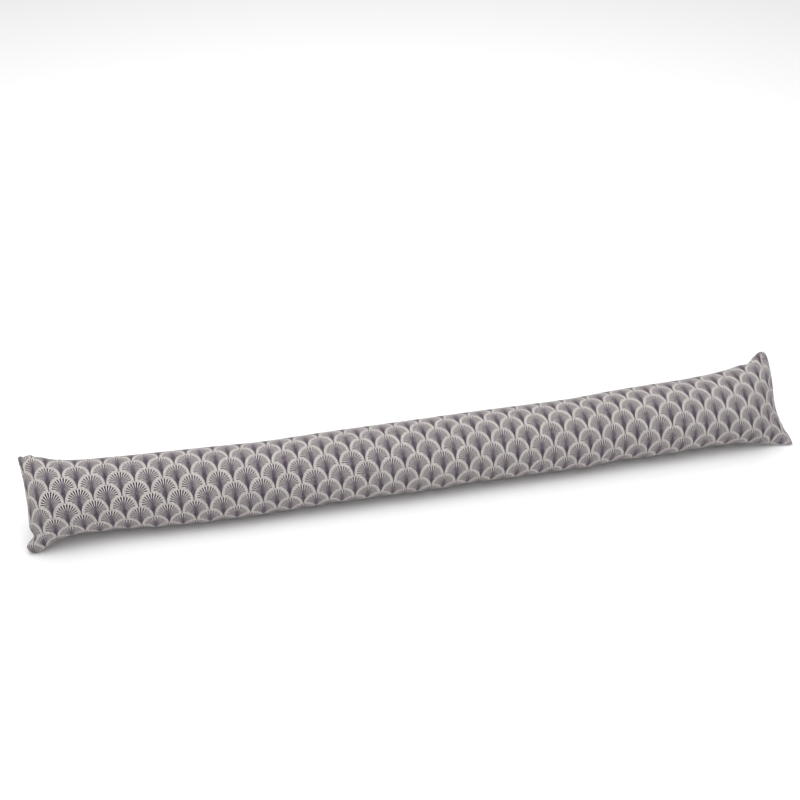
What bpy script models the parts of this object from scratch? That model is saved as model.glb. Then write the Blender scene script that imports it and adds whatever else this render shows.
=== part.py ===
"""Draught excluder: one long tube of patterned cloth, filled all along and sewn flat across both ends.

The cover lies on the floor along X, with its plain long seam at the back. The tube is a little wider
than it is high, bows gently in plan, and is flat where it rests. Over its last stretch each end narrows
to a straight seam that leans back, and the cloth stands out there as two soft ears.

Units are metres, +Z is up, and the origin is at the middle of the bounding box's underside.
"""

import math

import bmesh
import bpy
from mathutils import Vector

MM = 0.001

# Driving sizes
SEAM_TO_SEAM = 900 * MM
RING_SIDES = 48
BODY_STEP = 25 * MM
SEAM_LEAN = math.radians(33)
REST_DEPTH = 1.8 * MM  # how far the filled tube settles, which gives the flat strip it rests on
SEAM_HALF_THICK = 1.3 * MM
EAR_PINCH = 0.6  # how much thinner than an ellipse the section is beside an ear
END_REACH = 120 * MM  # length over which an end's own section gives way to the tube's
SEAM_REACH = 72 * MM  # length over which an end seam's curve dies away in the cloth
CREASE_START = 4 * MM  # the creases begin at the seam and have their full depth from here on
CLOTH_COLOUR = (0.36, 0.34, 0.33)

# Distances from an end seam at which the cloth has a ring of points
END_RINGS = [value * MM for value in (0, 1.5, 4, 8, 13, 18, 24, 31, 39, 49, 62, 78, 98, 120)]

# The tube's section along its length, in mm. along: place from the middle. side: the bow of its centre
# line. wide and high: half its width and height. upper and lower: how much fuller its upper back and
# its lower front are than that ellipse, where the filling is uneven.
BODY_COLUMNS = ("along", "side", "wide", "high", "upper", "lower")
BODY_ROWS = (
    (-450, 11.7, 42.0, 41.8, 0.8, -1.2),
    (-400, 8.9, 42.4, 41.6, 0.8, -1.2),
    (-350, 6.7, 42.7, 41.3, 0.7, -1.6),
    (-300, 4.6, 43.0, 41.1, 0.5, 0.1),
    (-235, 2.6, 43.3, 40.8, -0.2, 1.7),
    (-185, 1.5, 43.6, 40.7, -1.4, 0.4),
    (-105, 0.5, 44.1, 40.5, 0.2, -0.9),
    (0, 0.0, 44.7, 40.4, 0.4, 0.0),
    (70, 0.2, 45.1, 40.5, 0.1, -0.6),
    (130, 0.5, 45.6, 40.5, -0.8, 0.3),
    (190, 1.0, 46.0, 40.7, -1.7, 1.5),
    (240, 1.5, 46.2, 40.8, 0.2, -0.9),
    (280, 1.9, 46.5, 40.9, 0.8, 0.9),
    (330, 2.4, 46.8, 41.1, 0.9, 0.0),
    (400, 3.0, 47.3, 41.5, 0.9, 1.0),
    (450, 3.3, 47.6, 41.7, 0.9, 1.0),
)

# How an end's section grows from its seam, in mm. inset: distance from the seam. upper and lower: how
# far it reaches from its middle to its two ears, along the leaning seam.
EAR_COLUMNS = ("inset", "upper", "lower")
LEFT_EAR_ROWS = (
    (0, 51.6, 55.0),
    (6, 56.0, 54.6),
    (16, 51.8, 53.6),
    (24, 47.6, 49.4),
    (32, 45.6, 46.4),
    (42, 43.2, 43.6),
    (60, 40.6, 41.4),
    (90, 40.2, 41.2),
    (120, 41.0, 41.4),
)
RIGHT_EAR_ROWS = (
    (0, 57.6, 61.0),
    (10, 55.6, 60.0),
    (20, 54.0, 58.5),
    (28, 50.6, 58.6),
    (44, 48.0, 57.0),
    (69, 45.2, 51.0),
    (93, 43.6, 46.0),
    (120, 42.6, 42.6),
)

# Soft creases and tucks, in mm and degrees. inset: distance from the seam. around: place round the
# tube, from the upper ear towards the front. depth: how deep it is pressed in. along and spread: half
# its size each way.
CREASE_COLUMNS = ("inset", "around", "depth", "along", "spread")
LEFT_CREASE_ROWS = (
    (11, -2, 4.2, 3.2, 17),
    (12, 48, 1.6, 9.0, 8),
    (16, 84, 1.5, 11.0, 9),
    (14, 126, 2.0, 9.0, 9),
    (20, 160, 1.4, 7.0, 10),
    (15, -60, 1.6, 10.0, 9),
    (14, -110, 1.8, 10.0, 10),
)
RIGHT_CREASE_ROWS = (
    (26, -2, 3.4, 6.0, 15),
    (18, 34, 2.0, 12.0, 8),
    (15, 72, 1.7, 11.0, 9),
    (18, 112, 2.0, 12.0, 9),
    (24, 150, 2.4, 10.0, 9),
    (17, -52, 1.8, 12.0, 9),
    (16, -104, 1.8, 11.0, 10),
)

# Each end, in mm: side and rise are where its seam's middle lies, and middle, upper and lower how far
# that middle and the two ears stand out past half the length. notch: how deep the tuck above the lower
# ear is. rounding: length over which the end swells from its seam to the tube's full thickness.
# bluntness: 2 for a quarter ellipse, more for a blunter end.
SEAM_COLUMNS = ("side", "rise", "middle", "upper", "lower", "notch", "rounding", "bluntness")
LEFT_SEAM_ROW = (2.1, 49.2, 0.8, 4.8, 5.4, 4.4, 62, 2.5)
RIGHT_SEAM_ROW = (-5.2, 53.4, -3.6, -9.6, 15.4, 0.0, 120, 1.55)
NOTCH_AROUND = math.radians(133)
NOTCH_SPREAD = math.radians(8)

# (y, z) up along a leaning seam, and square off it towards the front
ALONG_SEAM = Vector((math.sin(SEAM_LEAN), math.cos(SEAM_LEAN)))
OFF_SEAM = Vector((-math.cos(SEAM_LEAN), math.sin(SEAM_LEAN)))

UPPER_SWELL_AROUND = math.radians(-36)
LOWER_SWELL_AROUND = math.radians(140)
SWELL_SPREAD = math.radians(55)


def clear_scene():
    for item in list(bpy.data.objects):
        bpy.data.objects.remove(item, do_unlink=True)


def smooth_read(rows, columns, name, place):
    """The value of a table's column at a place, on a smooth curve through its rows."""
    index = columns.index(name)
    places = [row[0] for row in rows]
    values = [row[index] for row in rows]
    if place <= places[0]:
        return values[0]
    if place >= places[-1]:
        return values[-1]
    right = next(i for i, value in enumerate(places) if value > place)
    left = right - 1
    span = places[right] - places[left]
    share = (place - places[left]) / span

    def slope(i):
        low, high = max(i - 1, 0), min(i + 1, len(places) - 1)
        return (values[high] - values[low]) / (places[high] - places[low])

    start, end = slope(left) * span, slope(right) * span
    square, cube = share**2, share**3
    return (
        (2 * cube - 3 * square + 1) * values[left]
        + (cube - 2 * square + share) * start
        + (3 * square - 2 * cube) * values[right]
        + (cube - square) * end
    )


def fade(share):
    """Falls smoothly from 1 to 0 as the share goes from 0 to 1."""
    share = min(max(share, 0.0), 1.0)
    return 1 - share * share * (3 - 2 * share)


def hump(distance, reach):
    """A soft bump of height 1 that is gone a little past its reach."""
    return math.exp(-((distance / reach) ** 2))


def turn_between(first, second):
    """The smaller angle between two places round the tube."""
    return (first - second + math.pi) % math.tau - math.pi


class End:
    """One flat-sewn end of the tube, on the side of X that its sign gives."""

    def __init__(self, sign, ear_rows, crease_rows, seam_row):
        self.sign = sign
        self.ear_rows = ear_rows
        self.crease_rows = crease_rows
        self.seam = dict(zip(SEAM_COLUMNS, seam_row))

    def section_point(self, inset, around):
        """(y, z) of the end's own section, a lens that thins to the seam between its two ears."""
        fullness = min(inset / (self.seam["rounding"] * MM), 1.0)
        bluntness = self.seam["bluntness"]
        share = (1 - (1 - fullness) ** bluntness) ** (1 / bluntness)
        body = BODY_ROWS[0 if self.sign < 0 else -1]
        full = body[BODY_COLUMNS.index("wide")] * MM
        thick = SEAM_HALF_THICK + (full - SEAM_HALF_THICK) * share
        side = "upper" if math.cos(around) > 0 else "lower"
        tall = smooth_read(self.ear_rows, EAR_COLUMNS, side, inset / MM) * MM
        across = math.sin(around)
        pinch = 1 + EAR_PINCH * (1 - fullness) ** 2
        outward = thick * math.copysign(abs(across) ** pinch, across)
        upward = tall * math.cos(around)
        centre = Vector((self.seam["side"], self.seam["rise"])) * MM
        return centre + ALONG_SEAM * upward + OFF_SEAM * outward

    def crease(self, inset, around):
        """How far the creases press a point of the cloth in."""
        depth = 0.0
        for row in self.crease_rows:
            mark = dict(zip(CREASE_COLUMNS, row))
            turned = turn_between(around, math.radians(mark["around"]))
            near = hump(inset - mark["inset"] * MM, mark["along"] * MM)
            depth += mark["depth"] * MM * near * hump(turned, math.radians(mark["spread"]))
        return depth * min(inset / CREASE_START, 1.0)

    def outward_shift(self, inset, around):
        """How far along X a point lies past its ring's plane: the ears stand out and the tuck goes in."""
        height = math.cos(around)
        ear = self.seam["upper"] if height > 0 else self.seam["lower"]
        shift = (self.seam["middle"] * (1 - height**2) + ear * height**2) * MM
        turned = turn_between(abs(turn_between(around, 0)), NOTCH_AROUND)
        shift -= self.seam["notch"] * MM * hump(turned, NOTCH_SPREAD)
        return self.sign * shift * fade(inset / SEAM_REACH)


LEFT_END = End(-1, LEFT_EAR_ROWS, LEFT_CREASE_ROWS, LEFT_SEAM_ROW)
RIGHT_END = End(1, RIGHT_EAR_ROWS, RIGHT_CREASE_ROWS, RIGHT_SEAM_ROW)


def body_point(along, around):
    """(y, z) of the filled tube's section, before it settles on the floor."""
    row = {name: smooth_read(BODY_ROWS, BODY_COLUMNS, name, along / MM) for name in BODY_COLUMNS}
    from_top = around - SEAM_LEAN
    upper = row["upper"] * hump(turn_between(from_top, UPPER_SWELL_AROUND), SWELL_SPREAD)
    lower = row["lower"] * hump(turn_between(from_top, LOWER_SWELL_AROUND), SWELL_SPREAD)
    swell = upper + lower
    y = row["side"] - (row["wide"] + swell) * math.sin(from_top)
    z = row["high"] + (row["high"] + swell) * math.cos(from_top)
    return Vector((y * MM, z * MM - REST_DEPTH))


def cover_point(along, around):
    """A point of the cover. around runs from the upper ear, over the front, to the lower ear and back."""
    end = LEFT_END if along < 0 else RIGHT_END
    inset = SEAM_TO_SEAM / 2 - abs(along)
    body = body_point(along, around)
    if inset > END_REACH:
        return Vector((along, body.x, max(body.y, 0.0)))
    section = body.lerp(end.section_point(inset, around), fade(inset / END_REACH))
    outward = ALONG_SEAM * math.cos(around) + OFF_SEAM * math.sin(around)
    section -= outward * end.crease(inset, around)
    return Vector((along + end.outward_shift(inset, around), section.x, max(section.y, 0.0)))


def ring_places():
    """Where the rings of points stand along the tube, close together at its ends."""
    half = SEAM_TO_SEAM / 2
    ends = [half - inset for inset in END_RINGS]
    middle = half - END_RINGS[-1]
    count = round(2 * middle / BODY_STEP)
    body = [-middle + 2 * middle * i / count for i in range(1, count)]
    return [-place for place in ends] + body + list(reversed(ends))


def bridge_rings(mesh, rings):
    """Joins each ring to the next, then closes both seams with a narrow strip from front to back."""
    for first, second in zip(rings, rings[1:]):
        for j in range(RING_SIDES):
            k = (j + 1) % RING_SIDES
            mesh.faces.new((first[j], first[k], second[k], second[j]))
    half = RING_SIDES // 2
    for ring in (rings[0], rings[-1]):
        mesh.faces.new((ring[0], ring[1], ring[-1]))
        mesh.faces.new((ring[half - 1], ring[half], ring[half + 1]))
        for j in range(1, half - 1):
            mesh.faces.new((ring[j], ring[j + 1], ring[-j - 1], ring[-j]))
    bmesh.ops.recalc_face_normals(mesh, faces=mesh.faces)


def centre_on_box(mesh):
    """Moves the points so that the box's underside is centred on the origin."""
    spans = []
    for axis in range(3):
        values = [vertex.co[axis] for vertex in mesh.verts]
        spans.append((min(values), max(values)))
    middle_x = sum(spans[0]) / 2
    middle_y = sum(spans[1]) / 2
    bmesh.ops.translate(mesh, verts=mesh.verts, vec=(-middle_x, -middle_y, -spans[2][0]))


def cloth_material():
    material = bpy.data.materials.new("woven_cloth")
    material.use_nodes = True
    shader = material.node_tree.nodes["Principled BSDF"]
    shader.inputs["Base Color"].default_value = (*CLOTH_COLOUR, 1)
    shader.inputs["Roughness"].default_value = 0.9
    shader.inputs["Metallic"].default_value = 0.0
    return material


def add_cover():
    """The filled cover: a ring of points at each place along the tube, bridged into one closed body."""
    mesh = bmesh.new()
    rings = []
    for along in ring_places():
        turns = [math.tau * j / RING_SIDES for j in range(RING_SIDES)]
        rings.append([mesh.verts.new(cover_point(along, around)) for around in turns])
    bridge_rings(mesh, rings)
    centre_on_box(mesh)
    data = bpy.data.meshes.new("cover")
    mesh.to_mesh(data)
    mesh.free()
    data.materials.append(cloth_material())
    data.shade_smooth()
    cover = bpy.data.objects.new("cover", data)
    bpy.context.scene.collection.objects.link(cover)
    return cover


def main():
    clear_scene()
    add_cover()


if __name__ == "__main__":
    main()
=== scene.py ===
"""The looks of a draught excluder: a long filled tube of woven cloth, sewn flat across both ends.

One piece of jacquard cloth is rolled into a tube, closed by a long seam low at its back, filled all along,
and sewn flat at each end, where the two corners of the cloth stand out as soft ears. The scene holds that
cover, a pale floor, soft studio light and a camera in front of the tube, a little to its left and above it.

All sizes are in metres unless a name says otherwise. +X runs along the tube to its right-hand end, +Y from
its front to its back, and +Z is up. The floor is at height 0.
"""

import logging
import math
from collections.abc import Callable, Sequence
from dataclasses import dataclass, field
from enum import Enum
from functools import partial
from typing import Any

import bpy
import numpy as np
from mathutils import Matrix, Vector


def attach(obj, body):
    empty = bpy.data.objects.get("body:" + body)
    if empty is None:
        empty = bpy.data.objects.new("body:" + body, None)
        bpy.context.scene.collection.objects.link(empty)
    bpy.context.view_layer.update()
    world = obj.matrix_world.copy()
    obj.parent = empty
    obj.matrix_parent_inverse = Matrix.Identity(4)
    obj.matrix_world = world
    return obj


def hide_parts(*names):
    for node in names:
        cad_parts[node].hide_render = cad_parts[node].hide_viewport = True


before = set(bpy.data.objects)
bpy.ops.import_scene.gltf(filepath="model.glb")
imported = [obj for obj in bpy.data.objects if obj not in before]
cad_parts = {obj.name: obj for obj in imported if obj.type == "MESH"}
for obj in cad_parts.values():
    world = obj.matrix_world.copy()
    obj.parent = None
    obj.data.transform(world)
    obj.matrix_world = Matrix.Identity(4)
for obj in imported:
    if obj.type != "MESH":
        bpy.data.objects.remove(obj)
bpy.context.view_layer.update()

MM = 0.001
LOG = logging.getLogger("draught_excluder")
CUT_MAP = "cloth_cut"  # the cover's own map: metres on the flat piece of cloth

MATH = "ShaderNodeMath"
VECTOR_MATH = "ShaderNodeVectorMath"
MIX = "ShaderNodeMix"
MAP_RANGE = "ShaderNodeMapRange"
SMOOTH = {"interpolation_type": "SMOOTHSTEP"}
AddNode = Callable[..., bpy.types.Node]


class Side(Enum):
    """The two ends of the tube, with the way along X that each one points."""

    LEFT = -1
    RIGHT = 1


def linear_colour(hex_value: str) -> tuple[float, float, float, float]:
    """Turns an sRGB hex value into the linear colour that a shader takes.

    Args:
        hex_value: The colour as "#RRGGBB".

    Returns:
        Red, green, blue and an alpha of 1.
    """
    channels = []
    for place in (1, 3, 5):
        value = int(hex_value[place : place + 2], 16) / 255
        channels.append(value / 12.92 if value <= 0.04045 else ((value + 0.055) / 1.055) ** 2.4)
    return (*channels, 1.0)


def add_node(
    tree: bpy.types.NodeTree, kind: str, inputs: Sequence[Any] | dict[int | str, Any] = (), **settings: Any
) -> bpy.types.Node:
    """Adds a node with its settings and links.

    Args:
        tree: The node tree that gets the node.
        kind: The node's type name in Blender.
        inputs: A value, a socket or a node for each input socket, in their order, or by number or name. A
            node stands for its own first output.
        **settings: Values of the node's own properties.

    Returns:
        The new node.
    """
    node = tree.nodes.new(kind)
    for name, value in settings.items():
        setattr(node, name, value)
    for place, value in inputs.items() if isinstance(inputs, dict) else enumerate(inputs):
        if isinstance(value, bpy.types.Node):
            value = value.outputs[0]
        if isinstance(value, bpy.types.NodeSocket):
            tree.links.new(value, node.inputs[place])
        else:
            node.inputs[place].default_value = value
    return node


def fade(share: np.ndarray) -> np.ndarray:
    """Falls smoothly from 1 to 0 as the share goes from 0 to 1.

    Args:
        share: Where between the two, below 0 and above 1 allowed.

    Returns:
        The faded values.
    """
    kept = np.clip(share, 0.0, 1.0)
    return 1 - kept * kept * (3 - 2 * kept)


def hump(distance: np.ndarray, reach: float) -> np.ndarray:
    """A soft bump of height 1 that is gone a little past its reach.

    Args:
        distance: Distances from the bump's middle.
        reach: How far the bump spreads.

    Returns:
        The bump's height at each distance.
    """
    return np.exp(-((distance / reach) ** 2))


def turn_between(first: np.ndarray, second: float) -> np.ndarray:
    """The smaller angle between two places round the tube.

    Args:
        first: Angles in radians.
        second: The angle they are compared with.

    Returns:
        The differences, each within half a turn.
    """
    return (first - second + math.pi) % math.tau - math.pi


@dataclass(frozen=True)
class StationTable:
    """Sizes at a few stations, read on a smooth curve through them.

    Attributes:
        columns: The names of the columns. The first holds the stations' places.
        rows: One row of numbers for each station, in millimetres.
    """

    columns: tuple[str, ...]
    rows: tuple[tuple[float, ...], ...]

    def read(self, name: str, places: np.ndarray) -> np.ndarray:
        """Reads a column.

        Args:
            name: The column's name.
            places: Where to read it, in metres.

        Returns:
            The column's values there, in metres.
        """
        table = np.array(self.rows)
        stations, values = table[:, 0], table[:, self.columns.index(name)]
        at = np.clip(np.asarray(places) / MM, stations[0], stations[-1])
        left = np.clip(np.searchsorted(stations, at, side="right") - 1, 0, len(stations) - 2)
        span = stations[left + 1] - stations[left]
        share = (at - stations[left]) / span
        before = np.concatenate([[0], np.arange(len(stations) - 1)])
        after = np.concatenate([np.arange(1, len(stations)), [len(stations) - 1]])
        slopes = (values[after] - values[before]) / (stations[after] - stations[before])
        square, cube = share**2, share**3
        return MM * (
            (2 * cube - 3 * square + 1) * values[left]
            + (cube - 2 * square + share) * slopes[left] * span
            + (3 * square - 2 * cube) * values[left + 1]
            + (cube - square) * slopes[left + 1] * span
        )


@dataclass(frozen=True)
class Crease:
    """A soft tuck pressed into the cloth near an end.

    Attributes:
        inset: Its distance from the end seam, in mm.
        around: Its place round the tube from the upper ear towards the front, in degrees.
        depth: How deep it is pressed in, in mm.
        along: Half its size along the tube, in mm.
        spread: Half its size round the tube, in degrees.
    """

    inset: float
    around: float
    depth: float
    along: float
    spread: float


@dataclass(frozen=True)
class SewnEnd:
    """One end of the tube, where its cloth narrows to a straight seam between two ears.

    Attributes:
        side: Which end it is.
        ears: How far the section reaches from its middle to its ears, by distance from the seam.
        creases: The tucks in the cloth beside the seam.
        middle_side: Where the seam's middle lies across the tube.
        middle_rise: How high the seam's middle lies.
        middle_out: How far the seam's middle stands out past half the length.
        upper_out: How far the upper ear stands out.
        lower_out: How far the lower ear stands out.
        notch: How deep the tuck above the lower ear is.
        upper_cut: How far the upper ear's very corner is rounded off.
        lower_cut: How far the lower ear's very corner is rounded off.
        upper_bulge: How far the upper ear swells out beside its corner.
        lower_bulge: How far the lower ear swells out beside its corner.
        edge_top: How wide the seam's turned edge shows at the upper ear.
        edge_low: How wide it shows further down.
        rounding: Length over which the end swells from its seam to its full thickness.
        bluntness: 2 for a quarter ellipse, more for a blunter end.
        full: Half the tube's thickness where the end meets it.
        slip: How far the sewing drew the cloth round the tube, and along it at the tube's top, front
            and bottom, by distance from the seam.
        half_thick: Half the seam's thickness.
        ear_pinch: How much flatter than a lens the section is beside its ears, at the seam.
        seam_reach: The distance from the seam at which the end's own shifts are gone.
        notch_around, notch_spread: The tuck's place, and half its size.
        corner_spread: Half the size of an ear's very corner.
        upper_bulge_around, upper_bulge_spread: The upper ear's swelling, its place and half its size.
        bulge_around, bulge_spread: The lower ear's swelling, its place and half its size.
        edge_depth: The distance from the seam at which the turned edge's shift is gone.
        crease_start: The distance from the seam over which the creases set in.
    """

    side: Side
    ears: StationTable
    creases: tuple[Crease, ...]
    middle_side: float
    middle_rise: float
    middle_out: float
    upper_out: float
    lower_out: float
    notch: float
    upper_cut: float
    lower_cut: float
    upper_bulge: float
    lower_bulge: float
    edge_top: float
    edge_low: float
    rounding: float
    bluntness: float
    full: float
    slip: StationTable
    half_thick: float = 1.3 * MM
    ear_pinch: float = 0.6
    seam_reach: float = 72 * MM
    notch_around: float = math.radians(132)
    notch_spread: float = math.radians(8)
    corner_spread: float = math.radians(11)
    upper_bulge_around: float = math.radians(46)
    upper_bulge_spread: float = math.radians(50)
    bulge_around: float = math.radians(147)
    bulge_spread: float = math.radians(12)
    edge_depth: float = 22 * MM
    crease_start: float = 4 * MM

    def section(self, inset: np.ndarray, around: np.ndarray) -> tuple[np.ndarray, np.ndarray]:
        """The end's own section, a lens that thins to the seam between its two ears.

        Args:
            inset: Distances from the seam.
            around: Places round the tube, from the upper ear over the front.

        Returns:
            How far each point lies up along the leaning seam from its middle, and how far off it.
        """
        fullness = np.clip(inset / self.rounding, 0.0, 1.0)
        share = (1 - (1 - fullness) ** self.bluntness) ** (1 / self.bluntness)
        thick = self.half_thick + (self.full - self.half_thick) * share
        tall = np.where(np.cos(around) > 0, self.ears.read("upper", inset), self.ears.read("lower", inset))
        across = np.sin(around)
        pinch = 1 + self.ear_pinch * (1 - fullness) ** 2
        return tall * np.cos(around), thick * np.sign(across) * np.abs(across) ** pinch

    def pressed_in(self, inset: np.ndarray, around: np.ndarray) -> np.ndarray:
        """How far the creases press each point of the cloth in.

        Args:
            inset: Distances from the seam.
            around: Places round the tube.

        Returns:
            The depths.
        """
        depth = np.zeros(np.broadcast(inset, around).shape)
        for crease in self.creases:
            near = hump(inset - crease.inset * MM, crease.along * MM)
            turned = turn_between(around, math.radians(crease.around))
            depth += crease.depth * MM * near * hump(turned, math.radians(crease.spread))
        return depth * np.clip(inset / self.crease_start, 0.0, 1.0)

    def outward_shift(self, inset: np.ndarray, around: np.ndarray) -> np.ndarray:
        """How far along X each point lies past its ring's plane.

        Args:
            inset: Distances from the seam.
            around: Places round the tube.

        Returns:
            The shifts: the ears stand out, and the tuck above the lower ear goes in.
        """
        height = np.cos(around)
        ear = np.where(height > 0, self.upper_out, self.lower_out)
        shift = self.middle_out * (1 - height**2) + ear * height**2
        from_top = np.abs(turn_between(around, 0.0))
        shift = shift - self.notch * hump(from_top - self.notch_around, self.notch_spread)
        shift = shift + self.upper_bulge * hump(from_top - self.upper_bulge_around, self.upper_bulge_spread)
        shift = shift + self.lower_bulge * hump(from_top - self.bulge_around, self.bulge_spread)
        shift = shift - self.lower_cut * hump(from_top - math.pi, self.corner_spread)
        shift = shift - self.upper_cut * hump(from_top, self.corner_spread)
        return self.side.value * (shift * fade(inset / self.seam_reach) - self.edge_width(inset, around))

    def edge_width(self, inset: np.ndarray, around: np.ndarray) -> np.ndarray:
        """How far the front layer stops short of the back one, so that the turned edge shows past it.

        Args:
            inset: Distances from the seam.
            around: Places round the tube.

        Returns:
            The widths, which are 0 all over the back.
        """
        front = np.clip(np.sin(around) / math.sin(math.radians(8)), 0.0, 1.0)
        up = fade((around - math.radians(20)) / math.radians(50))
        down = fade((around - math.radians(80)) / math.radians(60))
        width = self.edge_low * down + (self.edge_top - self.edge_low) * up
        return width * front * fade(inset / self.edge_depth)

    def slip_along(self, inset: np.ndarray, shares: np.ndarray) -> np.ndarray:
        """How far the sewing drew the cloth along the tube.

        Args:
            inset: Distances from the seam.
            shares: Shares of the way round from the long seam, with the upper ear at 0.25.

        Returns:
            The slips by ring and column.
        """
        stations = np.array([0.4, 0.51, 0.65, 1.4])
        values = [self.slip.read(name, inset) for name in ("top", "front", "bottom", "top")]
        at = np.where(shares < stations[0], shares + 1, shares)
        return np.array([np.interp(at, stations, row) for row in np.stack(values, axis=-1)])


EAR_COLUMNS = ("inset", "upper", "lower")
SLIP_COLUMNS = ("inset", "round", "top", "front", "bottom")

LEFT_END = SewnEnd(
    side=Side.LEFT,
    ears=StationTable(
        EAR_COLUMNS,
        (
            (0, 51.0, 56.0),
            (5, 52.6, 56.2),
            (9, 50.8, 55.8),
            (13.5, 54.2, 54.6),
            (18, 50.6, 52.4),
            (25, 49.2, 49.0),
            (32, 46.0, 46.4),
            (42, 43.6, 43.6),
            (60, 40.8, 41.4),
            (90, 40.2, 41.2),
            (120, 41.0, 41.4),
        ),
    ),
    creases=(
        Crease(10, 14, 1.8, 3.0, 12),
        Crease(12, 48, 1.6, 9.0, 8),
        Crease(16, 84, 1.5, 11.0, 9),
        Crease(14, 126, 2.0, 9.0, 9),
        Crease(20, 160, 1.4, 7.0, 10),
        Crease(15, -60, 1.6, 10.0, 9),
        Crease(14, -110, 1.8, 10.0, 10),
    ),
    middle_side=2.1 * MM,
    middle_rise=49.2 * MM,
    middle_out=0.8 * MM,
    upper_out=4.8 * MM,
    lower_out=4.8 * MM,
    notch=5.4 * MM,
    upper_cut=0.0,
    lower_cut=3.4 * MM,
    upper_bulge=0.0,
    lower_bulge=4.0 * MM,
    edge_top=0.0,
    edge_low=0.0,
    rounding=62 * MM,
    bluntness=2.5,
    full=42.0 * MM,
    slip=StationTable(
        SLIP_COLUMNS,
        (
            (0, -3.6, 3.4, 3.4, 3.0),
            (30, -4.6, 3.4, 3.8, 3.0),
            (50, -5.3, 3.4, 3.9, 3.0),
            (70, -4.4, 3.2, 3.7, 2.8),
            (90, -3.6, 2.7, 3.5, 2.5),
            (120, -2.7, 1.8, 2.0, 1.6),
            (150, -1.9, 1.5, 1.3, 1.3),
            (180, -1.3, 1.0, 1.1, 1.2),
            (240, -0.7, 0.3, 0.4, 0.5),
            (300, 0, 0, 0, 0),
        ),
    ),
)

RIGHT_END = SewnEnd(
    side=Side.RIGHT,
    ears=StationTable(
        EAR_COLUMNS,
        (
            (0, 57.6, 63.2),
            (10, 55.6, 62.6),
            (20, 54.0, 61.2),
            (28, 50.6, 60.2),
            (44, 48.0, 57.4),
            (69, 45.2, 51.0),
            (93, 43.6, 46.0),
            (120, 42.6, 42.6),
        ),
    ),
    creases=(
        Crease(26, -2, 3.4, 6.0, 15),
        Crease(18, 34, 2.0, 12.0, 8),
        Crease(15, 72, 1.7, 11.0, 9),
        Crease(18, 112, 2.0, 12.0, 9),
        Crease(24, 150, 2.4, 10.0, 9),
        Crease(17, -52, 1.8, 12.0, 9),
        Crease(16, -104, 1.8, 11.0, 10),
    ),
    middle_side=-5.2 * MM,
    middle_rise=53.4 * MM,
    middle_out=-3.6 * MM,
    upper_out=-9.6 * MM,
    lower_out=15.4 * MM,
    notch=0.0,
    upper_cut=1.4 * MM,
    lower_cut=2.4 * MM,
    upper_bulge=4.6 * MM,
    lower_bulge=1.0 * MM,
    edge_top=6.5 * MM,
    edge_low=2.6 * MM,
    rounding=120 * MM,
    bluntness=1.55,
    full=47.6 * MM,
    slip=StationTable(
        SLIP_COLUMNS,
        (
            (0, -6.5, 9.0, 4.0, -1.0),
            (20, -7.8, 7.8, 5.0, -2.0),
            (50, -7.6, 6.0, 5.5, -2.2),
            (80, -5.8, 2.7, 4.2, -1.0),
            (100, -3.4, 0.5, 2.0, 0.4),
            (120, -0.8, -1.4, -0.8, 0.7),
            (150, 0.4, -2.0, -0.9, 0.6),
            (200, 0, -1.0, 0, 0.3),
            (300, 0, 0, 0, 0),
        ),
    ),
)

TUBE = StationTable(
    ("along", "side", "wide", "high", "upper", "lower"),
    (
        (-450, 11.7, 42.0, 41.8, 0.8, -1.2),
        (-400, 8.9, 42.4, 41.6, 0.8, -1.2),
        (-350, 6.7, 42.7, 41.3, 0.7, -1.6),
        (-300, 4.6, 43.0, 41.1, 0.5, 0.1),
        (-235, 2.6, 43.3, 40.8, -0.2, 1.7),
        (-185, 1.5, 43.6, 40.7, -1.4, 0.4),
        (-105, 0.5, 44.1, 40.5, 0.2, -0.9),
        (0, 0.0, 44.7, 40.4, 0.4, 0.0),
        (70, 0.2, 45.1, 40.5, 0.1, -0.6),
        (130, 0.5, 45.6, 40.5, -0.8, 0.3),
        (190, 1.0, 46.0, 40.7, -1.7, 1.5),
        (240, 1.5, 46.2, 40.8, 0.2, -0.9),
        (280, 1.9, 46.5, 40.9, 0.8, 0.9),
        (330, 2.4, 46.8, 41.1, 0.9, 0.0),
        (400, 3.0, 47.3, 41.5, 0.9, 1.0),
        (450, 3.3, 47.6, 41.7, 0.9, 1.0),
    ),
)


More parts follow.
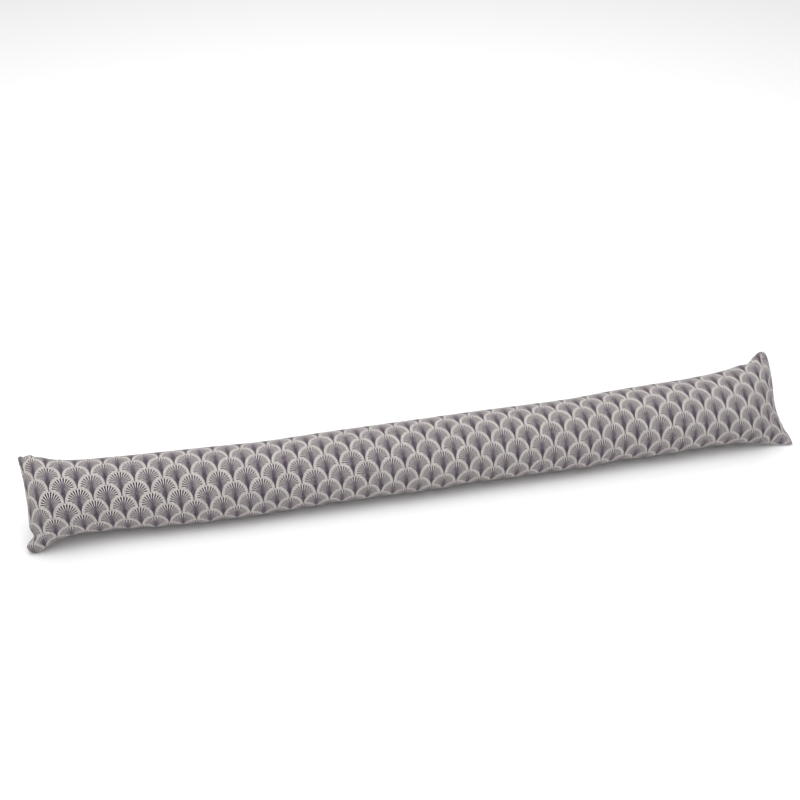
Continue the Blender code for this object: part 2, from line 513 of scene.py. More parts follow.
@dataclass(frozen=True)
class JacquardCloth:
    """Jacquard furnishing cloth, woven in two yarns with a half-drop repeat of scallop fans.

    The light yarn comes to the face in each fan's rim and the dark yarn in its rays and stem, so the eye
    sees crisp pale arches over a soft mix of greys, a fine thread grain with painted shade between the
    threads, and hardly any shine.

    A fan is measured in rows from its middle. A tone is 0 in the light yarn and 1 in the dark one. Two
    numbers are the ends of a soft step.

    Attributes:
        half_repeat: Half the width of a fan's repeat along the cloth.
        row_height: The height of one row of fans on the cloth.
        thread: The spacing of the threads.
        light, pale, middle, dark, darkest: The colours from the light yarn alone to the dark one alone.
        roughness: How matt the cloth is.
        rim_radius: Half the width of a fan's oval outline.
        rim_width: The width of a fan's pale rim.
        rim_soft: Half the width of the rim's soft inner edge.
        rim_foot: The heights between which the rim starts at its foot.
        rim_tone: The rim's tone.
        tallness: The oval's height over its width.
        focus: Where its rays meet, above its middle.
        ray_turn: The angle between two rays.
        ray_reach: The angles from upright between which the rays end.
        ray_edge: A ray's edge, as shares of the turn to the next ray.
        ray_tones: The tones between the rays and on them.
        rays_from: The distances from the middle between which the rays come up.
        streak_tones: What a ray's faint inner part adds between the rays and on them.
        streaks_from: The distances from the middle between which that part comes up.
        plume_edge: How softly the dark plume ends at its sides.
        flare: How much wider it is at its foot, and the heights between which it widens.
        plume_heights: The heights between which it darkens.
        plume_shares: How strong it is at those heights.
        plume_dark: Its own tone.
        ground_reach: The distances from the fan's axis between which the ground beside it lightens.
        ground_tones: The ground's tones at those distances.
        stem_fade: The heights between which a stem starts to mix with the light yarn.
        stem_mix: How much it mixes, and to which tone.
        stem_width: Half the width of a stem at its tip.
        stem_end: How far up the fan two rows below a stem's tip ends.
        tip_tone: That tip's tone.
        slub: How much thick and thin places of a yarn change the tone.
        cloud: How much the tone wanders over some centimetres.
        painted_gap_shade: How much darker the painted shade between the threads makes the tone, and how
            much lighter the painted light on top of them makes it.
        thread_relief, rim_relief: How high the threads and the rims stand in the bump.
    """

    half_repeat: float = 14.9 * MM
    row_height: float = 14.86 * MM
    thread: float = 0.5 * MM
    light: str = "#CDCCC4"
    pale: str = "#AEAAA5"
    middle: str = "#887F86"
    dark: str = "#4C444C"
    darkest: str = "#3E233D"
    roughness: float = 0.88
    rim_radius: float = 0.957
    rim_width: float = 0.206
    rim_soft: float = 0.02
    rim_foot: tuple[float, float] = (-0.52, -0.36)
    rim_tone: float = 0.2
    tallness: float = 1.085
    focus: float = -0.07
    ray_turn: float = math.radians(14.55)
    ray_reach: tuple[float, float] = (math.radians(88) - 0.05, math.radians(88) + 0.3)
    ray_edge: tuple[float, float] = (0.28, 0.34)
    ray_tones: tuple[float, float] = (-0.12, 1.15)
    rays_from: tuple[float, float] = (0.23, 0.55)
    streak_tones: tuple[float, float] = (-0.14, 0.16)
    streaks_from: tuple[float, float] = (0.1, 0.3)
    plume_edge: float = 0.27
    flare: tuple[float, float, float] = (0.06, 0.0, -0.55)
    plume_heights: tuple[float, float] = (0.75, -0.45)
    plume_shares: tuple[float, float] = (0.22, 0.86)
    plume_dark: float = 0.89
    ground_reach: tuple[float, float] = (0.2, 0.65)
    ground_tones: tuple[float, float] = (0.51, 0.46)
    stem_fade: tuple[float, float] = (-0.75, -1.0)
    stem_mix: tuple[float, float] = (0.4, 0.45)
    stem_width: float = 0.043
    stem_end: float = 0.895
    tip_tone: float = 0.72
    slub: float = 0.19
    cloud: float = 0.03
    painted_gap_shade: float = 0.1
    thread_relief: float = 0.25
    rim_relief: float = 0.4

    def make(self) -> bpy.types.Material:
        """Makes the cloth's material.

        Returns:
            The new material.
        """
        material = bpy.data.materials.new("woven_jacquard_cloth")
        material.use_nodes = True
        material.node_tree.nodes.clear()
        add = partial(add_node, material.node_tree)
        cut = add("ShaderNodeUVMap", uv_map=CUT_MAP)
        tone, rim = self.fan_tone(add, cut)
        threads = self.crossed_threads(add, cut)
        # The fans' tone with the yarn grain and the painted shade between the threads added
        shaded_grained_tone = add(MATH, (self.grain_and_gap_shade(add, cut, threads), tone), operation="ADD")
        colour = add("ShaderNodeValToRGB", (shaded_grained_tone,))
        stops = colour.color_ramp.elements
        stops[0].position, stops[0].color = 0.0, linear_colour(self.light)
        stops[1].position, stops[1].color = 1.0, linear_colour(self.darkest)
        for place, hex_value in ((0.2, self.pale), (0.45, self.middle), (0.8, self.dark)):
            stops.new(place).color = linear_colour(hex_value)
        # The threads stand out a little, and the rims a little more
        raised = add(MATH, (threads, self.thread_relief, 0.5), operation="MULTIPLY_ADD")
        height = add(MATH, (rim, self.rim_relief, raised), operation="MULTIPLY_ADD")
        bump = add("ShaderNodeBump", {"Height": height, "Strength": 0.6, "Distance": 0.25 * MM})
        rough = add(MAP_RANGE, (shaded_grained_tone, 0.0, 1.0, self.roughness, self.roughness + 0.07))
        shader = add(
            "ShaderNodeBsdfPrincipled",
            {
                "Base Color": colour,
                "Roughness": rough,
                "Normal": bump,
                "Metallic": 0.0,
                "IOR": 1.45,
                "Specular IOR Level": 0.25,
                "Sheen Weight": 0.18,
                "Sheen Roughness": 0.5,
                "Sheen Tint": linear_colour("#D8D4D2"),
            },
        )
        add("ShaderNodeOutputMaterial", {"Surface": shader})
        return material

    def fan_tone(self, add: AddNode, cut: bpy.types.Node) -> tuple[bpy.types.Node, bpy.types.Node]:
        """Draws the scallop fans by formula.

        Args:
            add: Adds a node to the material.
            cut: The node that gives the place on the flat cloth.

        Returns:
            The nodes that give the tone, and a 1 on the rims.
        """
        place = add("ShaderNodeSeparateXYZ", (cut,))
        across = add(MATH, (place.outputs[0], self.half_repeat), operation="DIVIDE")
        up = add(MATH, (place.outputs[1], self.row_height), operation="DIVIDE")
        # A fan reaches a little past the line of the row above it
        lowered = add(MATH, (up, self.rim_radius * self.tallness - 1), operation="SUBTRACT")
        level = add(MATH, (lowered,), operation="FLOOR")
        above = add(MATH, (up, level), operation="SUBTRACT")
        # Every other row is set half a repeat along
        parity = add(MATH, (level, 2.0), operation="FLOORED_MODULO")
        shifted = add(MATH, (across, parity), operation="SUBTRACT")
        beside = add(MATH, (shifted, 1.0, -1.0), operation="WRAP")
        # A point belongs to the fan of its own row if it is inside that oval, or else to the row above
        low_reach = self.from_middle(add, beside, above)
        outside = add(MATH, (low_reach, self.rim_radius), operation="GREATER_THAN")
        sign = add(MATH, (beside,), operation="SIGN")
        step = add(MATH, (sign, outside), operation="MULTIPLY")
        x = add(MATH, (beside, step), operation="SUBTRACT")
        y = add(MATH, (above, outside), operation="SUBTRACT")
        reach = self.from_middle(add, x, y)
        inner_rim = self.rim_radius - self.rim_width
        rim_edge = add(MAP_RANGE, (reach, inner_rim - self.rim_soft, inner_rim + self.rim_soft), **SMOOTH)
        rim_height = add(MAP_RANGE, (y, *self.rim_foot), **SMOOTH)
        rim = add(MATH, (rim_edge, rim_height), operation="MULTIPLY")
        inside = self.ray_tone(add, x, y, reach)
        tone = add(MIX, {0: rim, 2: inside, 3: self.rim_tone}, data_type="FLOAT")
        # The tip of the stem two rows up ends on this fan's rim
        off_stem = add(MATH, (beside,), operation="ABSOLUTE")
        on_stem = add(MATH, (off_stem, self.stem_width), operation="LESS_THAN")
        in_tip = add(MATH, (above, self.stem_end), operation="GREATER_THAN")
        tip = add(MATH, (on_stem, in_tip), operation="MULTIPLY")
        return add(MIX, {0: tip, 2: tone, 3: self.tip_tone}, data_type="FLOAT"), rim

    def from_middle(self, add: AddNode, x: bpy.types.Node, y: bpy.types.Node) -> bpy.types.NodeSocket:
        """Measures the distance from a fan's middle, with its height pressed down so its oval is a circle.

        Args:
            add: Adds a node to the material.
            x: The place along the cloth from the fan's middle.
            y: The place up the cloth from the fan's middle.

        Returns:
            The socket that gives the distance.
        """
        pressed = add(MATH, (y, self.tallness), operation="DIVIDE")
        flat = add("ShaderNodeCombineXYZ", (x, pressed))
        return add(VECTOR_MATH, (flat,), operation="LENGTH").outputs["Value"]

    def ray_tone(
        self, add: AddNode, x: bpy.types.Node, y: bpy.types.Node, reach: bpy.types.NodeSocket
    ) -> bpy.types.Node:
        """Draws a fan's twelve rays over its plume.

        Args:
            add: Adds a node to the material.
            x: The place along the cloth from the fan's middle.
            y: The place up the cloth from the fan's middle.
            reach: The distance from the fan's middle.

        Returns:
            The node that gives the tone inside the rim.
        """
        over_focus = add(MATH, (y, self.focus), operation="SUBTRACT")
        angle = add(MATH, (x, over_focus), operation="ARCTAN2")
        turns = add(MATH, (angle, 1 / self.ray_turn, 0.5), operation="MULTIPLY_ADD")
        from_ray = add(MATH, (turns, 0.5), operation="PINGPONG")
        ray = add(MAP_RANGE, (from_ray, *self.ray_edge, 1.0, 0.0), **SMOOTH)
        slant = add(MATH, (angle,), operation="ABSOLUTE")
        has_rays = add(MAP_RANGE, (slant, *self.ray_reach, 1.0, 0.0), **SMOOTH)
        outer = add(MAP_RANGE, (reach, *self.rays_from), **SMOOTH)
        outer_rays = add(MATH, (outer, has_rays), operation="MULTIPLY")
        tone = add(MAP_RANGE, (ray, 0.0, 1.0, *self.ray_tones))
        # Towards the middle the rays are faint streaks in the mixed greys, and below it there are none
        streak = add(MAP_RANGE, (ray, 0.0, 1.0, *self.streak_tones))
        past_middle = add(MAP_RANGE, (reach, *self.streaks_from), **SMOOTH)
        share = add(MATH, (past_middle, has_rays), operation="MULTIPLY")
        streaked = add(MATH, (streak, share, self.plume_tone(add, x, y)), operation="MULTIPLY_ADD")
        return add(MIX, {0: outer_rays, 2: streaked, 3: tone}, data_type="FLOAT")

    def plume_tone(self, add: AddNode, x: bpy.types.Node, y: bpy.types.Node) -> bpy.types.Node:
        """Draws the soft dark plume that runs from a fan's middle down into its stem.

        Args:
            add: Adds a node to the material.
            x: The place along the cloth from the fan's middle.
            y: The place up the cloth from the fan's middle.

        Returns:
            The node that gives the plume's tone and its ground's.
        """
        widest, *flare_heights = self.flare
        mixed, mixed_tone = self.stem_mix
        off_axis = add(MATH, (x,), operation="ABSOLUTE")
        half_width = add(MAP_RANGE, (y, *flare_heights, 0.0, widest), **SMOOTH)
        soft_edge = add(MATH, (half_width, self.plume_edge), operation="ADD")
        plume = add(MAP_RANGE, (off_axis, half_width, soft_edge, 1.0, 0.0), **SMOOTH)
        strength = add(MAP_RANGE, (y, *self.plume_heights, *self.plume_shares), **SMOOTH)
        share = add(MATH, (plume, strength), operation="MULTIPLY")
        ground = add(MAP_RANGE, (off_axis, *self.ground_reach, *self.ground_tones), **SMOOTH)
        deepened = add(MIX, {0: share, 2: ground, 3: self.plume_dark}, data_type="FLOAT")
        tip = add(MAP_RANGE, (y, *self.stem_fade, 0.0, mixed), **SMOOTH)
        return add(MIX, {0: tip, 2: deepened, 3: mixed_tone}, data_type="FLOAT")

    def grain_and_gap_shade(self, add: AddNode, cut: bpy.types.Node, threads: bpy.types.Node) -> bpy.types.Node:
        """Mixes fine and broad unevenness of the yarns with painted shade between the threads.

        Args:
            add: Adds a node to the material.
            cut: The node that gives the place on the flat cloth.
            threads: The node that is 1 on top of the threads.

        Returns:
            The node that gives what the grain and the painted shade add to the tone.
        """
        in_mm = add(VECTOR_MATH, (cut, (1 / MM, 1 / MM, 1 / MM)), operation="MULTIPLY")
        # Thick and thin places run along the warp and along the weft
        slubs = []
        for stretched in ((1.6, 0.45, 1.0), (0.45, 1.6, 1.0)):
            along = add(VECTOR_MATH, (in_mm, stretched), operation="MULTIPLY")
            noise = add(
                "ShaderNodeTexNoise", {"Vector": along, "Scale": 0.8, "Detail": 2.0, "Roughness": 0.7}
            )
            slubs.append(add(MAP_RANGE, (noise, 0.25, 0.75, -self.slub, self.slub)))
        broad = add("ShaderNodeTexNoise", {"Vector": in_mm, "Scale": 0.05, "Detail": 1.0, "Roughness": 0.5})
        cloud = add(MAP_RANGE, (broad, 0.3, 0.7, -self.cloud, self.cloud))
        slubbed = add(MATH, slubs, operation="ADD")
        clouded = add(MATH, (slubbed, cloud), operation="ADD")
        # Painted shade: the tone is darker between the threads, where the bump lies low, and lighter on top
        # of them
        return add(MATH, (threads, -self.painted_gap_shade, clouded), operation="MULTIPLY_ADD")

    def crossed_threads(self, add: AddNode, cut: bpy.types.Node) -> bpy.types.Node:
        """Draws the threads, which pass over and under each other.

        Args:
            add: Adds a node to the material.
            cut: The node that gives the place on the flat cloth.

        Returns:
            The node that runs from -1 between the threads to 1 on top of them.
        """
        half_wave = math.pi / self.thread
        in_threads = add(VECTOR_MATH, (cut, (half_wave, half_wave, 0.0)), operation="MULTIPLY")
        ways = add("ShaderNodeSeparateXYZ", (in_threads,))
        warp = add(MATH, (ways.outputs[0],), operation="SINE")
        weft = add(MATH, (ways.outputs[1],), operation="SINE")
        return add(MATH, (warp, weft), operation="MULTIPLY")


def cut_grid(name: str, rings: int, columns: int) -> bpy.types.Object:
    """Cuts a flat piece of cloth as a grid, and numbers its points.

    Args:
        name: The piece's name.
        rings: How many points it has along its length.
        columns: How many points it has across.

    Returns:
        The new object, one metre square for now.
    """
    bpy.ops.object.select_all(action="DESELECT")
    bpy.ops.mesh.primitive_grid_add(x_subdivisions=rings - 1, y_subdivisions=columns - 1, size=1)
    piece = bpy.context.object
    piece.name = name
    mesh = piece.data
    mesh.name = name
    flat = np.empty(len(mesh.vertices) * 3)
    mesh.vertices.foreach_get("co", flat)
    flat = flat.reshape(-1, 3)
    for axis, (label, count) in enumerate((("ring", rings), ("column", columns))):
        numbers = np.round((flat[:, axis] + 0.5) * (count - 1)).astype(np.int32)
        mesh.attributes.new(label, "INT", "POINT").data.foreach_set("value", numbers)
    return piece


def read_numbers(mesh: bpy.types.Mesh) -> tuple[np.ndarray, np.ndarray]:
    """Reads which ring and which column each point of a piece belongs to.

    Args:
        mesh: The piece's mesh.

    Returns:
        The rings' and the columns' numbers.
    """
    numbers = []
    for label in ("ring", "column"):
        values = np.empty(len(mesh.vertices), dtype=np.int32)
        mesh.attributes[label].data.foreach_get("value", values)
        numbers.append(values)
    return numbers[0], numbers[1]


def join_long_seam(piece: bpy.types.Object, scale: float) -> None:
    """Joins the two long edges of a rolled piece.

    Args:
        piece: The rolled piece.
        scale: How many times its real size it is.
    """
    bpy.context.view_layer.objects.active = piece
    bpy.ops.object.mode_set(mode="EDIT")
    bpy.ops.mesh.select_mode(type="VERT")
    bpy.ops.mesh.select_all(action="SELECT")
    bpy.ops.mesh.remove_doubles(threshold=0.002 * MM * scale)
    bpy.ops.mesh.normals_make_consistent(inside=False)
    bpy.ops.object.mode_set(mode="OBJECT")


@dataclass
class GatheredEnd:
    """The cloth of one end as it settles round its filling, by a cloth simulation.

    The seam takes in less width than the cloth has, so the loose cloth beside it puffs out in puckers.

    Attributes:
        end: The end that is simulated.
        reach: How much of the tube takes part.
        held_from: How far from the seam the rest of the tube starts to hold the cloth.
        held_over: The length over which its hold grows.
        loose_reach: How far from the seam the cloth is loose.
        looseness: How much longer the cloth is than its place, at the seam.
        kept_girth: The share of the mean swelling that is taken off again.
        most: How far a point may move at the most.
        near_seam: How far it may move beside the seam.
        scale: How many times its real size the end is simulated, because the springs of a piece this small
            would hardly pull.
        frames: How many frames the simulation runs.
    """

    end: SewnEnd
    reach: float = 130 * MM
    held_from: float = 75 * MM
    held_over: float = 45 * MM
    loose_reach: float = 70 * MM
    looseness: float = 0.09
    kept_girth: float = 0.85
    most: float = 3.0 * MM
    near_seam: float = 1.0 * MM
    scale: float = 10.0
    frames: int = 20

    def gather(self, seam_to_seam: float, places: np.ndarray, points: np.ndarray) -> None:
        """Simulates the end and moves its points.

        Args:
            seam_to_seam: The distance between the end seams.
            places: All rings' places along the tube.
            points: The cover's points by ring and column, which are changed.
        """
        inset = seam_to_seam / 2 - self.end.side.value * places
        rings = np.where(inset <= self.reach)[0]
        piece = cut_grid("end_cloth", len(rings), points.shape[1])
        mesh = piece.data
        ring, column = read_numbers(mesh)
        mesh.vertices.foreach_set("co", (points[rings[ring], column] * self.scale).ravel())
        mesh.update()
        join_long_seam(piece, self.scale)
        ring, column = read_numbers(mesh)
        before = points[rings[ring], column]
        outward = np.empty(len(mesh.vertices) * 3)
        mesh.vertices.foreach_get("normal", outward)
        outward = outward.reshape(-1, 3)
        self.set_up(piece, inset[rings[ring]])
        for number in range(1, self.frames + 1):
            bpy.context.scene.frame_set(number)
        bpy.ops.object.modifier_apply(modifier="settle")
        after = np.empty(len(mesh.vertices) * 3)
        mesh.vertices.foreach_get("co", after)
        move = after.reshape(-1, 3) / self.scale - before
        # The end keeps its girth: only the puckers are taken over
        swelling = (move * outward).sum(axis=1)
        mean = np.bincount(ring, swelling) / np.bincount(ring)
        move -= self.kept_girth * mean[ring][:, None] * outward
        length = np.linalg.norm(move, axis=1)
        most = np.minimum(self.most, self.near_seam + 0.1 * inset[rings[ring]])
        # A smooth cap, so that no point stops short all at once
        move *= (most / (most + length))[:, None] * (1 + length / (most + length))[:, None]
        settled = before + move
        settled[:, 2] = np.maximum(settled[:, 2], 0.0)
        points[rings[ring], column] = settled
        last = points.shape[1] - 1
        for number in range(len(rings)):
            joined = settled[(ring == number) & ((column == 0) | (column == last))]
            points[rings[number], [0, last]] = joined[0]
        bpy.data.objects.remove(piece, do_unlink=True)
        bpy.data.meshes.remove(mesh)
        bpy.context.scene.frame_set(1)

    def set_up(self, piece: bpy.types.Object, inset: np.ndarray) -> None:
        """Gives the piece its cloth settings: held at its seam and towards the tube, loose between.

        Args:
            piece: The end's cloth.
            inset: Each point's distance from the seam.
        """
        held = np.clip((inset - self.held_from) / self.held_over, 0.0, 1.0)
        held[inset < 0.01 * MM] = 1.0
        tight = np.clip(inset / self.loose_reach, 0.0, 1.0)
        for name, weights in (("held", held), ("tight", tight)):
            group = piece.vertex_groups.new(name=name)
            for index, weight in enumerate(weights):
                group.add([index], float(weight), "REPLACE")
        cloth = piece.modifiers.new("settle", "CLOTH")
        cloth.collision_settings.use_collision = False
        cloth.point_cache.frame_start = 1
        cloth.point_cache.frame_end = self.frames
        settings = cloth.settings
        settings.quality = 8
        settings.mass = 0.1
        settings.tension_stiffness = 20
        settings.compression_stiffness = 20
        settings.shear_stiffness = 7
        settings.bending_stiffness = 3
        settings.vertex_group_mass = "held"
        settings.vertex_group_shrink = "tight"
        settings.shrink_min = -self.looseness
        settings.use_pressure = True
        settings.uniform_pressure_force = 5
        settings.effector_weights.gravity = 0


@dataclass
class FilledCover:
    """The cloth cover with its filling: one cut of cloth, rolled, sewn and filled.

    Attributes:
        seam_to_seam: The distance between the planes of the two end seams.
        seam_lean: How far the end seams lean back from upright.
        rest_depth: How far the filled tube settles on the floor.
        end_reach: The length over which an end's section gives way to the tube's.
        ring_step: The distance between two rings of points along the tube.
        front_columns: How many strips of cloth go round the tube's front, and as many round its back.
        rows_round: How many rows of fans go round the tube.
        seam_dent: How deep the long seam lies in the filled cloth.
        tuck_depth: How deep the small tucks along the lower front edge are.
        tuck_spacing: How far apart they are.
        tuck_line: Where round the tube they lie, from its top.
        tuck_spread: How far they reach to either side of that line.
        first_row: The row of fans that runs along the line of the upper ears.
        row_turn: How many rows further that line runs at the right-hand end than at the middle.
        skew: How far along the cloth each row of fans lies past the one above it.
    """

    finish: JacquardCloth = field(default_factory=JacquardCloth)
    seam_to_seam: float = 900 * MM
    seam_dent: float = 1.2 * MM
    tuck_depth: float = 1.5 * MM
    tuck_spacing: float = 36 * MM
    tuck_line: float = math.radians(147)
    tuck_spread: float = math.radians(30)
    seam_lean: float = math.radians(33)
    rest_depth: float = 1.8 * MM
    end_reach: float = 120 * MM
    ring_step: float = 3.3 * MM
    front_columns: int = 40
    rows_round: int = 18
    upper_swell: float = math.radians(-36)
    lower_swell: float = math.radians(140)
    swell_spread: float = math.radians(55)
    centre_shift: tuple[float, float] = (5.0 * MM, 1.92 * MM)
    first_row: float = -2.17
    row_turn: float = 0.196
    skew: float = 0.3 * MM

    def build(self) -> bpy.types.Object:
        """Cuts, rolls, sews and fills the cover, and dresses it in its cloth.

        Returns:
            The finished piece.
        """
        places = self.ring_places()
        shares = self.column_shares()
        points = self.rolled_points(places, shares)
        cloth = self.cloth_places(places, shares, points)
        for end in (LEFT_END, RIGHT_END):
            GatheredEnd(end).gather(self.seam_to_seam, places, points)
        cover = cut_grid("cover_cloth", len(places), len(shares))
        cover.data.uv_layers[0].name = CUT_MAP
        self.roll(cover, points, cloth)
        self.sew(cover)
        self.map_edges(cover, cloth, shares)
        self.finish_shape(cover)
        cover.data.materials.append(self.finish.make())
        return cover

    def ring_places(self) -> np.ndarray:
        """Where the rings of points stand along the tube, close together beside its seams.

        Returns:
            Their places from the tube's middle, from left to right.
        """
        beside_seam = np.array([0, 1.0, 2.2, 3.8, 5.8, 8.2]) * MM
        half = self.seam_to_seam / 2
        middle = half - beside_seam[-1]
        count = round(2 * middle / self.ring_step)
        inner = np.linspace(-middle, middle, count + 1)
        return np.concatenate([-(half - beside_seam[:-1]), inner, (half - beside_seam[:-1])[::-1]])

    def column_shares(self) -> np.ndarray:
        """Where the columns of points run round the tube, as shares of its way round.

        Returns:
            The shares from 0 to 1, starting and ending at the long seam low at the back. 0.25 is the
            upper ear and 0.75 the lower one.
        """
        even = np.arange(2 * self.front_columns + 1) / (2 * self.front_columns)
        beside_seam = 0.0055
        extra = np.array([beside_seam, 0.5 - beside_seam, 0.5 + beside_seam, 1 - beside_seam])
        return np.sort(np.concatenate([even, extra]))

    def tube_section(self, along: np.ndarray, around: np.ndarray) -> tuple[np.ndarray, np.ndarray]:
        """The filled tube's section, before it settles on the floor.

        Args:
            along: Places from the tube's middle.
            around: Places round the tube, from the upper ear over the front.

        Returns:
            The sideways places and the heights of the points.
        """
        from_top = around - self.seam_lean
        upper = TUBE.read("upper", along) * hump(
            turn_between(from_top, self.upper_swell), self.swell_spread
        )
        lower = TUBE.read("lower", along) * hump(
            turn_between(from_top, self.lower_swell), self.swell_spread
        )
        swell = upper + lower
        high = TUBE.read("high", along)
        y = TUBE.read("side", along) - (TUBE.read("wide", along) + swell) * np.sin(from_top)
        z = high + (high + swell) * np.cos(from_top) - self.rest_depth
        return y, z

    def cover_points(self, along: np.ndarray, around: np.ndarray) -> np.ndarray:
        """Points of the cover.

        Args:
            along: Places from the tube's middle, one column.
            around: Places round the tube, one row.

        Returns:
            An array of points by ring and place round it, in the tube's own frame.
        """
        y, z = self.tube_section(along, around)
        x = np.broadcast_to(along, y.shape).copy()
        lean_sin, lean_cos = math.sin(self.seam_lean), math.cos(self.seam_lean)
        for end in (LEFT_END, RIGHT_END):
            inset = self.seam_to_seam / 2 - end.side.value * along
            share = fade(inset / self.end_reach)
            upward, outward = end.section(inset, around)
            end_y = end.middle_side + lean_sin * upward - lean_cos * outward
            end_z = end.middle_rise + lean_cos * upward + lean_sin * outward
            y = y + (end_y - y) * share
            z = z + (end_z - z) * share
            pressed = end.pressed_in(inset, around)
            y = y - pressed * (lean_sin * np.cos(around) - lean_cos * np.sin(around))
            z = z - pressed * (lean_cos * np.cos(around) + lean_sin * np.sin(around))
            x = x + end.outward_shift(inset, around)
        from_top = around - self.seam_lean
        tucked = self.tuck_depth * self.tucks(along, turn_between(from_top, self.tuck_line))
        y = y + tucked * np.sin(from_top)
        z = z - tucked * np.cos(from_top)
        return np.stack([x, y, np.maximum(z, 0.0)], axis=-1)

    def tucks(self, along: np.ndarray, off_line: np.ndarray) -> np.ndarray:
        """The small tucks in the cloth along the tube's lower front edge, where it starts to hang free.

        Args:
            along: Places from the tube's middle.
            off_line: The turns from the line of the tucks.

        Returns:
            How deep each point lies in a tuck, up to 1.
        """
        reach = self.seam_to_seam / 2 - 30 * MM
        count = int(reach / self.tuck_spacing)
        depth = np.zeros(np.broadcast(along, off_line).shape)
        for number in range(-count, count + 1):
            place = (number + 0.22 * math.sin(2.4 * number)) * self.tuck_spacing
            strength = 0.65 + 0.35 * math.sin(1.7 * number)
            slant = 12 * MM * math.sin(4.1 * number)
            depth += strength * hump(along - place - slant * off_line, 11 * MM)
        return depth * hump(off_line, self.tuck_spread)

    def rolled_points(self, places: np.ndarray, shares: np.ndarray) -> np.ndarray:
        """The cloth's points once it is rolled and sewn, spaced evenly round each ring.

        Args:
            places: The rings' places along the tube.
            shares: The columns' shares of the way round.

        Returns:
            An array of points by ring and column, in the row frame.
        """
        steps = 360
        around = np.linspace(0.0, math.tau, 2 * steps + 1)[None, :]
        dense = self.cover_points(places[:, None], around)
        lengths = np.linalg.norm(np.diff(dense, axis=1), axis=2)
        rings = []
        for ring, pieces in zip(dense, lengths):
            front = np.concatenate([[0.0], np.cumsum(pieces[:steps])])
            back = np.concatenate([[0.0], np.cumsum(pieces[steps:])])
            reached = np.concatenate([front / front[-1] / 2, 0.5 + back[1:] / back[-1] / 2])
            wanted = (shares - 0.25) % 1.0
            rings.append(np.stack([np.interp(wanted, reached, ring[:, i]) for i in range(3)], axis=-1))
        points = np.array(rings)
        points[..., 0] -= self.centre_shift[0]
        points[..., 1] -= self.centre_shift[1]
        # The long seam lies a little in
        middle = points.mean(axis=1)
        inset = self.seam_to_seam / 2 - np.abs(places)
        dent = self.seam_dent * (1 - fade(inset / (40 * MM)))
        for column in (0, -1):
            inward = middle - points[:, column]
            points[:, column] += inward / np.linalg.norm(inward, axis=1)[:, None] * dent[:, None]
        return points

    def cloth_places(
        self, places: np.ndarray, shares: np.ndarray, points: np.ndarray
    ) -> np.ndarray:
        """Where each point lies on the flat cut of cloth.

        Args:
            places: The rings' places along the tube.
            shares: The columns' shares of the way round.
            points: The rolled points.

        Returns:
            An array of places on the cloth by ring and column: along it, and up it.
        """
        lengths = np.linalg.norm(np.diff(points, axis=0), axis=2)
        along = np.repeat(places[:, None], len(shares), axis=1)
        inner = self.seam_to_seam / 2 - self.end_reach
        left = int(np.searchsorted(places, -inner))
        right = int(np.searchsorted(places, inner)) - 1
        along[:left] = along[left] - np.cumsum(lengths[:left][::-1], axis=0)[::-1]
        along[right + 1 :] = along[right] + np.cumsum(lengths[right:], axis=0)
        # The fan that stands over the tube's middle is a tenth of a repeat off it
        along += 28.2 * self.finish.half_repeat
        # The cloth's rows turn slowly round the tube, and it slips a little where the ends are sewn
        first = self.first_row + self.row_turn * places / (self.seam_to_seam / 2)
        rows = first[:, None] + self.rows_round * (shares[None, :] - 0.25)
        along += self.skew * (2.5 - rows)
        for end in (LEFT_END, RIGHT_END):
            inset = self.seam_to_seam / 2 - end.side.value * places
            rows = rows + end.slip.read("round", inset)[:, None] / self.finish.row_height
            along += end.slip_along(inset, shares)
        return np.stack([along, -rows * self.finish.row_height], axis=-1)

    def roll(self, cover: bpy.types.Object, points: np.ndarray, cloth: np.ndarray) -> None:
        """Rolls the flat cloth into the tube and maps it in metres on the cut.

        Args:
            cover: The flat piece.
            points: Where each of its points goes.
            cloth: Where each point lies on the cut.
        """
        mesh = cover.data
        ring, column = read_numbers(mesh)
        mesh.vertices.foreach_set("co", points[ring, column].ravel())
        corners = np.empty(len(mesh.loops), dtype=np.int64)
        mesh.loops.foreach_get("vertex_index", corners)
        places = cloth[ring[corners], column[corners]]
        mesh.uv_layers[CUT_MAP].data.foreach_set("uv", places.ravel())
        mesh.update()

    def sew(self, cover: bpy.types.Object) -> None:
        """Sews the long seam, closes both end seams and turns the cloth's face outwards.

        Args:
            cover: The rolled cloth.
        """
        join_long_seam(cover, 1.0)
        for end in (LEFT_END, RIGHT_END):
            self.close_end(cover, end)
        bpy.ops.object.mode_set(mode="EDIT")
        bpy.ops.mesh.select_all(action="SELECT")
        bpy.ops.mesh.normals_make_consistent(inside=False)
        bpy.ops.object.mode_set(mode="OBJECT")

    def map_edges(self, cover: bpy.types.Object, cloth: np.ndarray, shares: np.ndarray) -> None:
        """Maps the turned edges of the end seams as strips of the same cloth.

        Args:
            cover: The sewn cover.
            cloth: Where each point lies on the cut, by ring and column.
            shares: The columns' shares of the way round.
        """
        mesh = cover.data
        ring, column = read_numbers(mesh)
        last = cloth.shape[0] - 1
        layer = mesh.uv_layers[CUT_MAP].data
        for face in mesh.polygons:
            for seam, outward in ((0, -1), (last, 1)):
                if any(ring[i] != seam for i in face.vertices):
                    continue
                for corner in face.loop_indices:
                    share = shares[column[mesh.loops[corner].vertex_index]]
                    is_front = 0.25 <= share <= 0.75
                    up_the_seam = abs((share - 0.25 + 0.5) % 1.0 - 0.5) * self.rows_round
                    # The strip is cut through the fans' rims, so it shows pale with dark flecks
                    across = outward * (1 - is_front) * 6 * MM + self.finish.half_repeat / 2
                    layer[corner].uv = (across, -up_the_seam * self.finish.row_height)

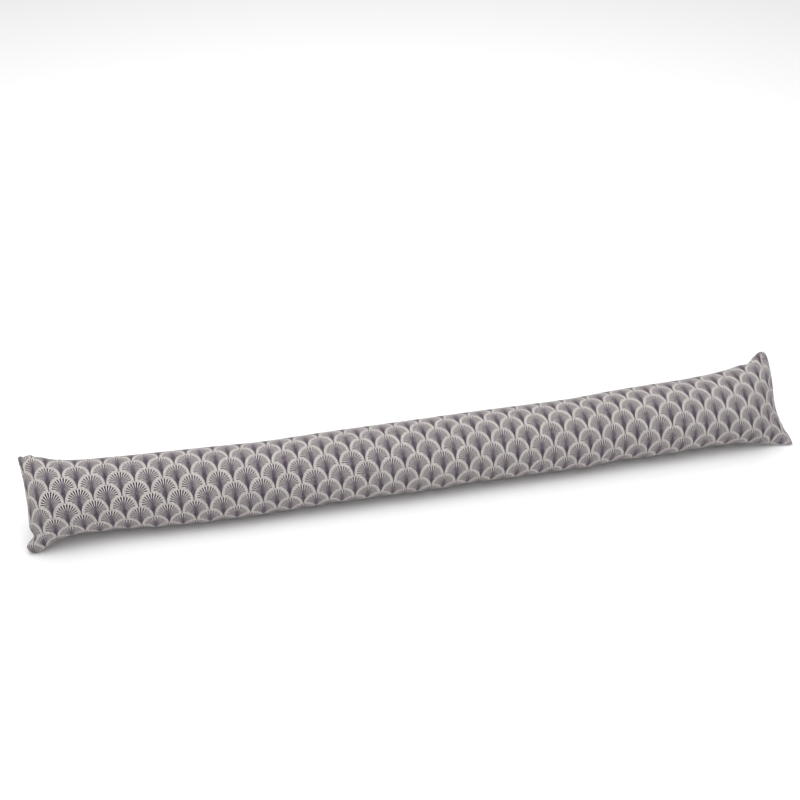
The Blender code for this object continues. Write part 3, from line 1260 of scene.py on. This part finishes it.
    def close_end(self, cover: bpy.types.Object, end: SewnEnd) -> None:
        """Bridges the front and back layers of cloth across an end seam.

        Args:
            cover: The rolled cloth, open at this end.
            end: The end to close.
        """
        mesh = cover.data
        bpy.ops.object.mode_set(mode="EDIT")
        bpy.ops.mesh.select_mode(type="EDGE")
        bpy.ops.mesh.select_all(action="DESELECT")
        bpy.ops.mesh.select_non_manifold(extend=False, use_boundary=True)
        bpy.ops.object.mode_set(mode="OBJECT")
        for edge in mesh.edges:
            middle = sum(mesh.vertices[i].co.x for i in edge.vertices) / 2
            edge.select = edge.select and middle * end.side.value > 0
        bpy.ops.object.mode_set(mode="EDIT")
        bpy.ops.mesh.fill_grid(span=1)
        bpy.ops.object.mode_set(mode="OBJECT")

    def finish_shape(self, cover: bpy.types.Object) -> None:
        """Refines the sewn cover once and smooths its shading.

        Args:
            cover: The sewn cover.
        """
        bpy.ops.object.select_all(action="DESELECT")
        cover.select_set(True)
        bpy.context.view_layer.objects.active = cover
        for label in ("ring", "column"):
            cover.data.attributes.remove(cover.data.attributes[label])
        finer = cover.modifiers.new("finer", "SUBSURF")
        finer.levels = 1
        finer.render_levels = 1
        bpy.ops.object.modifier_apply(modifier=finer.name)
        bpy.ops.object.shade_smooth()


@dataclass
class Studio:
    """A pale floor, soft light and the camera.

    Attributes:
        floor_colour: The floor's matt paint.
        camera_place: Where the camera stands.
        pitch: How far it looks down, in degrees.
        heading: How far it looks to the right of straight on, in degrees.
        lens: Its focal length in mm, on a 36 mm sensor.
    """

    floor_colour: str = "#F4F4F4"
    camera_place: tuple[float, float, float] = (-0.3441, -1.2185, 0.8982)
    pitch: float = 31.844
    heading: float = 14.321
    lens: float = 58.5

    def build(self) -> None:
        """Sets up the floor, the light and the camera."""
        self.lay_floor()
        self.hang_light("key_light", (-0.4, -0.4, 2.2), 1.8, 28.0)
        self.hang_light("fill_light", (0.4, -0.6, 1.9), 1.6, 4.0)
        self.hang_light("back_light", (0.2, 1.3, 1.9), 1.6, 10.0)
        self.light_room()
        self.place_camera()
        bpy.context.scene.view_settings.view_transform = "Standard"

    def lay_floor(self) -> None:
        """Lays the floor, which isn't part of the object."""
        bpy.ops.object.select_all(action="DESELECT")
        bpy.ops.mesh.primitive_plane_add(size=12, location=(0, 0, 0))
        floor = bpy.context.object
        floor.name = "floor"
        paint = bpy.data.materials.new("matt_white_paint")
        paint.use_nodes = True
        shader = paint.node_tree.nodes["Principled BSDF"]
        shader.inputs["Base Color"].default_value = linear_colour(self.floor_colour)
        shader.inputs["Roughness"].default_value = 0.95
        shader.inputs["Specular IOR Level"].default_value = 0.1
        floor.data.materials.append(paint)

    def hang_light(self, name: str, place: tuple[float, float, float], size: float, power: float) -> None:
        """Hangs a soft square lamp that faces the tube.

        Args:
            name: The lamp's name.
            place: Where it hangs.
            size: The length of its side.
            power: Its power in watts.
        """
        lamp = bpy.data.lights.new(name, "AREA")
        lamp.shape = "SQUARE"
        lamp.size = size
        lamp.energy = power
        hung = bpy.data.objects.new(name, lamp)
        hung.location = place
        hung.rotation_euler = (-Vector(place)).to_track_quat("-Z", "Y").to_euler()
        bpy.context.scene.collection.objects.link(hung)

    def light_room(self) -> None:
        """Gives the room its even white light."""
        world = bpy.data.worlds.new("white_room")
        world.use_nodes = True
        sky = world.node_tree.nodes["Background"]
        sky.inputs["Color"].default_value = (1, 1, 1, 1)
        sky.inputs["Strength"].default_value = 0.73
        bpy.context.scene.world = world

    def place_camera(self) -> None:
        """Places the camera."""
        data = bpy.data.cameras.new("camera")
        data.lens = self.lens
        data.sensor_width = 36
        camera = bpy.data.objects.new("camera", data)
        camera.location = self.camera_place
        camera.rotation_euler = (math.radians(90 - self.pitch), 0, math.radians(-self.heading))
        bpy.context.scene.collection.objects.link(camera)
        bpy.context.scene.camera = camera


def main() -> None:
    """Builds the cover and the studio round it."""
    logging.basicConfig(level=logging.INFO, format="%(message)s")
    cover = FilledCover().build()
    LOG.info("cover: %d faces", len(cover.data.polygons))
    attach(cover, "root")
    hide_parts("cover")
    Studio().build()
    LOG.info("studio: floor, lamps and camera")


if __name__ == "__main__":
    main()
